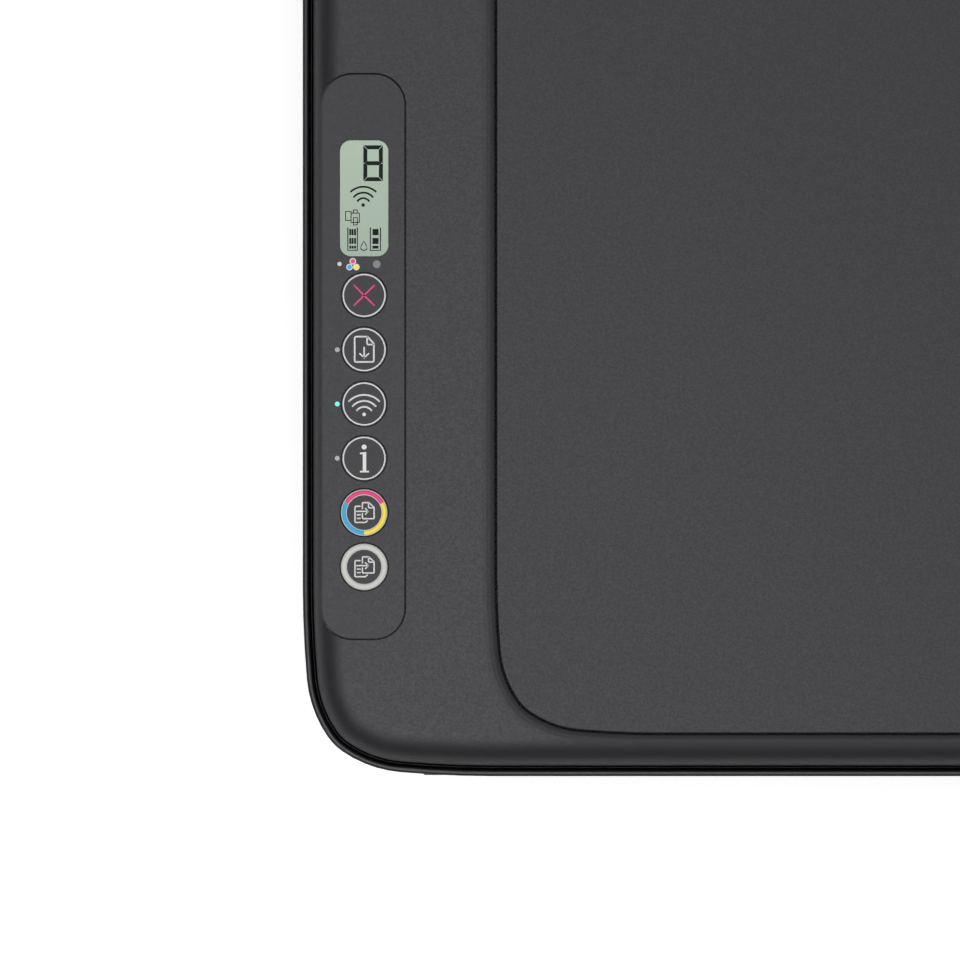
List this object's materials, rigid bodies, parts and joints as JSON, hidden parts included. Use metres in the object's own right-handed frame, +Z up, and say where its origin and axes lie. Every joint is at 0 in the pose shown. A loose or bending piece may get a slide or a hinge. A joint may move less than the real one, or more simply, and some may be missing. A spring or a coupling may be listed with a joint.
{
  "type": "inkjet printer",
  "caption": "Compact rounded all-in-one inkjet printer with a flush scanner lid, a side control panel, a rear paper flap and a pull-out front tray.",
  "frame": {"origin": "centre of the footprint's bounding box, on the surface the feet stand on", "axes": "+X to the user's right, +Y to the back, +Z up"},
  "size_m": [0.425, 0.304, 0.154],
  "materials": {
    "case_plastic": "fine texture",
    "pan_plastic": "fine texture",
    "lid_plastic": "fine texture",
    "panel_plastic": "satin",
    "key_plastic": "satin",
    "inner_plastic": "plain",
    "pale_plastic": "plain",
    "gear_plastic": "plain",
    "display_screen": "unlit liquid crystal",
    "light_lens": "clear",
    "circuit_board": "lacquered",
    "roller_rubber": "plain",
    "foot_rubber": "plain",
    "belt_rubber": "ribbed",
    "bright_steel": "ground",
    "sheet_steel": "galvanised",
    "motor_can": "plain",
    "bed_glass": "clear",
    "foam_white": "soft white backing"
  },
  "bodies": {
    "case": {"base_pan": "pan_plastic", "body_shell": "case_plastic", "rear_housing": "case_plastic", "rubber_feet": "foot_rubber", "case_screws": "bright_steel", "door_hinge_pins": "bright_steel", "power_supply": "inner_plastic", "power_inlet": "inner_plastic", "main_board": "circuit_board", "paper_chute": "inner_plastic", "side_plates": "sheet_steel", "platen": "inner_plastic", "feed_motor": "motor_can", "exit_guide": "inner_plastic", "chassis_rail": "sheet_steel", "guide_rod": "bright_steel", "carriage_motor": "motor_can", "carriage_belt": "belt_rubber", "service_base": "inner_plastic"},
    "print_carriage": {"carriage": "inner_plastic", "black_cartridge": "inner_plastic", "colour_cartridge": "inner_plastic"},
    "drive_pulley": {"carriage_pulley": "pale_plastic"},
    "idler_pulley": {"belt_idler": "pale_plastic"},
    "feed_shaft": {"feed_roller": "bright_steel", "feed_gear": "gear_plastic"},
    "pinion": {"motor_pinion": "gear_plastic"},
    "idler": {"idler_gear": "gear_plastic"},
    "output_shaft": {"output_roller": "roller_rubber", "output_gear": "gear_plastic"},
    "pinch_shaft": {"pinch_rollers": "inner_plastic"},
    "star_shaft": {"star_wheels": "bright_steel"},
    "pickup": {"pickup_roller": "roller_rubber"},
    "paper_guide": {"width_guide": "inner_plastic"},
    "tray": {"output_tray": "case_plastic"},
    "tray_extender": {"output_extender": "case_plastic"},
    "support_flap": {"paper_support": "case_plastic"},
    "power_key": {"power_button": "key_plastic"},
    "scanner": {"scanner_base": "inner_plastic", "scanner_frame": "case_plastic", "scanner_glass": "bed_glass", "control_panel": "panel_plastic", "display": "display_screen", "key_board": "circuit_board", "indicator_lights": "light_lens", "scan_rod": "bright_steel", "scan_belt": "belt_rubber", "scan_motor": "motor_can", "lid_hinge_pins": "bright_steel"},
    "scan_bar": {"scan_head": "inner_plastic"},
    "scan_drive": {"scan_pulley": "pale_plastic"},
    "lid": {"lid_cover": "lid_plastic", "lid_liner": "case_plastic", "lid_mat": "foam_white"},
    "cancel_key": {"cancel_button": "key_plastic"},
    "resume_key": {"resume_button": "key_plastic"},
    "wireless_key": {"wireless_button": "key_plastic"},
    "information_key": {"information_button": "key_plastic"},
    "colour_copy_key": {"colour_copy_button": "key_plastic"},
    "black_copy_key": {"black_copy_button": "key_plastic"}
  },
  "joints": [
    {"name": "scanner_lift", "type": "hinge", "parent": "case", "child": "scanner", "pos_m": [0, 0.1033, 0.1485], "axis": [-1, 0, 0], "range_deg": [0, 30]},
    {"name": "lid_hinge", "type": "hinge", "parent": "scanner", "child": "lid", "pos_m": [0, 0.092, 0.1492], "axis": [-1, 0, 0], "range_deg": [0, 80]},
    {"name": "support_flap_hinge", "type": "hinge", "parent": "case", "child": "support_flap", "pos_m": [0, 0.1365, 0.1482], "axis": [-1, 0, 0], "range_deg": [0, 107]},
    {"name": "tray_slide", "type": "slide", "parent": "case", "child": "tray", "axis": [0, -1, 0], "range_m": [0, 0.095]},
    {"name": "extender_slide", "type": "slide", "parent": "tray", "child": "tray_extender", "axis": [0, -1, 0], "range_m": [0, 0.07]},
    {"name": "guide_slide", "type": "slide", "parent": "case", "child": "paper_guide", "axis": [1, 0, 0], "range_m": [0, 0.111]},
    {"name": "power_press", "type": "slide", "parent": "case", "child": "power_key", "axis": [0, 1, 0], "range_m": [0, 0.0008], "stiffness_N_per_m": 500},
    {"name": "carriage_slide", "type": "slide", "parent": "case", "child": "print_carriage", "axis": [-1, 0, 0], "range_m": [0, 0.306]},
    {"name": "pulley_spin", "type": "hinge", "parent": "case", "child": "drive_pulley", "pos_m": [0.19, 0.036, 0.088], "axis": [0, 1, 0], "continuous": true},
    {"name": "belt_idler_spin", "type": "hinge", "parent": "case", "child": "idler_pulley", "pos_m": [-0.194, 0.036, 0.088], "axis": [0, 1, 0], "continuous": true},
    {"name": "feed_spin", "type": "hinge", "parent": "case", "child": "feed_shaft", "pos_m": [0, 0.022, 0.034], "axis": [1, 0, 0], "continuous": true},
    {"name": "pinion_spin", "type": "hinge", "parent": "case", "child": "pinion", "pos_m": [0, 0.04853, 0.02], "axis": [1, 0, 0], "continuous": true},
    {"name": "idler_spin", "type": "hinge", "parent": "case", "child": "idler", "pos_m": [0, -0.008, 0.03454], "axis": [1, 0, 0], "continuous": true},
    {"name": "output_spin", "type": "hinge", "parent": "case", "child": "output_shaft", "pos_m": [0, -0.034, 0.035], "axis": [1, 0, 0], "continuous": true},
    {"name": "pinch_spin", "type": "hinge", "parent": "case", "child": "pinch_shaft", "pos_m": [0, 0.024, 0.0437], "axis": [1, 0, 0], "continuous": true},
    {"name": "star_spin", "type": "hinge", "parent": "case", "child": "star_shaft", "pos_m": [0, -0.034, 0.0453], "axis": [1, 0, 0], "continuous": true},
    {"name": "pickup_spin", "type": "hinge", "parent": "case", "child": "pickup", "pos_m": [0, 0.08852, 0.06795], "axis": [1, 0, 0], "continuous": true},
    {"name": "scan_slide", "type": "slide", "parent": "scanner", "child": "scan_bar", "axis": [1, 0, 0], "range_m": [0, 0.28]},
    {"name": "scan_drive_spin", "type": "hinge", "parent": "scanner", "child": "scan_drive", "pos_m": [0.188, -0.006, 0.12], "axis": [0, 0, 1], "continuous": true},
    {"name": "cancel_press", "type": "slide", "parent": "scanner", "child": "cancel_key", "axis": [0, 0, -1], "range_m": [0, 0.0005], "stiffness_N_per_m": 400},
    {"name": "resume_press", "type": "slide", "parent": "scanner", "child": "resume_key", "axis": [0, 0, -1], "range_m": [0, 0.0005], "stiffness_N_per_m": 400},
    {"name": "wireless_press", "type": "slide", "parent": "scanner", "child": "wireless_key", "axis": [0, 0, -1], "range_m": [0, 0.0005], "stiffness_N_per_m": 400},
    {"name": "information_press", "type": "slide", "parent": "scanner", "child": "information_key", "axis": [0, 0, -1], "range_m": [0, 0.0005], "stiffness_N_per_m": 400},
    {"name": "colour_copy_press", "type": "slide", "parent": "scanner", "child": "colour_copy_key", "axis": [0, 0, -1], "range_m": [0, 0.0005], "stiffness_N_per_m": 400},
    {"name": "black_copy_press", "type": "slide", "parent": "scanner", "child": "black_copy_key", "axis": [0, 0, -1], "range_m": [0, 0.0005], "stiffness_N_per_m": 400}
  ],
  "couplings": [
    {"joint": "pinion_spin", "follows": "feed_spin", "ratio": -4},
    {"joint": "idler_spin", "follows": "feed_spin", "ratio": -4},
    {"joint": "output_spin", "follows": "feed_spin", "ratio": 1.2},
    {"joint": "pinch_spin", "follows": "feed_spin", "ratio": -1.7143},
    {"joint": "star_spin", "follows": "feed_spin", "ratio": -1.2},
    {"joint": "pulley_spin", "follows": "carriage_slide", "rad_per_m": 162.6},
    {"joint": "belt_idler_spin", "follows": "carriage_slide", "rad_per_m": 162.6},
    {"joint": "scan_drive_spin", "follows": "scan_slide", "rad_per_m": -194.17}
  ]
}
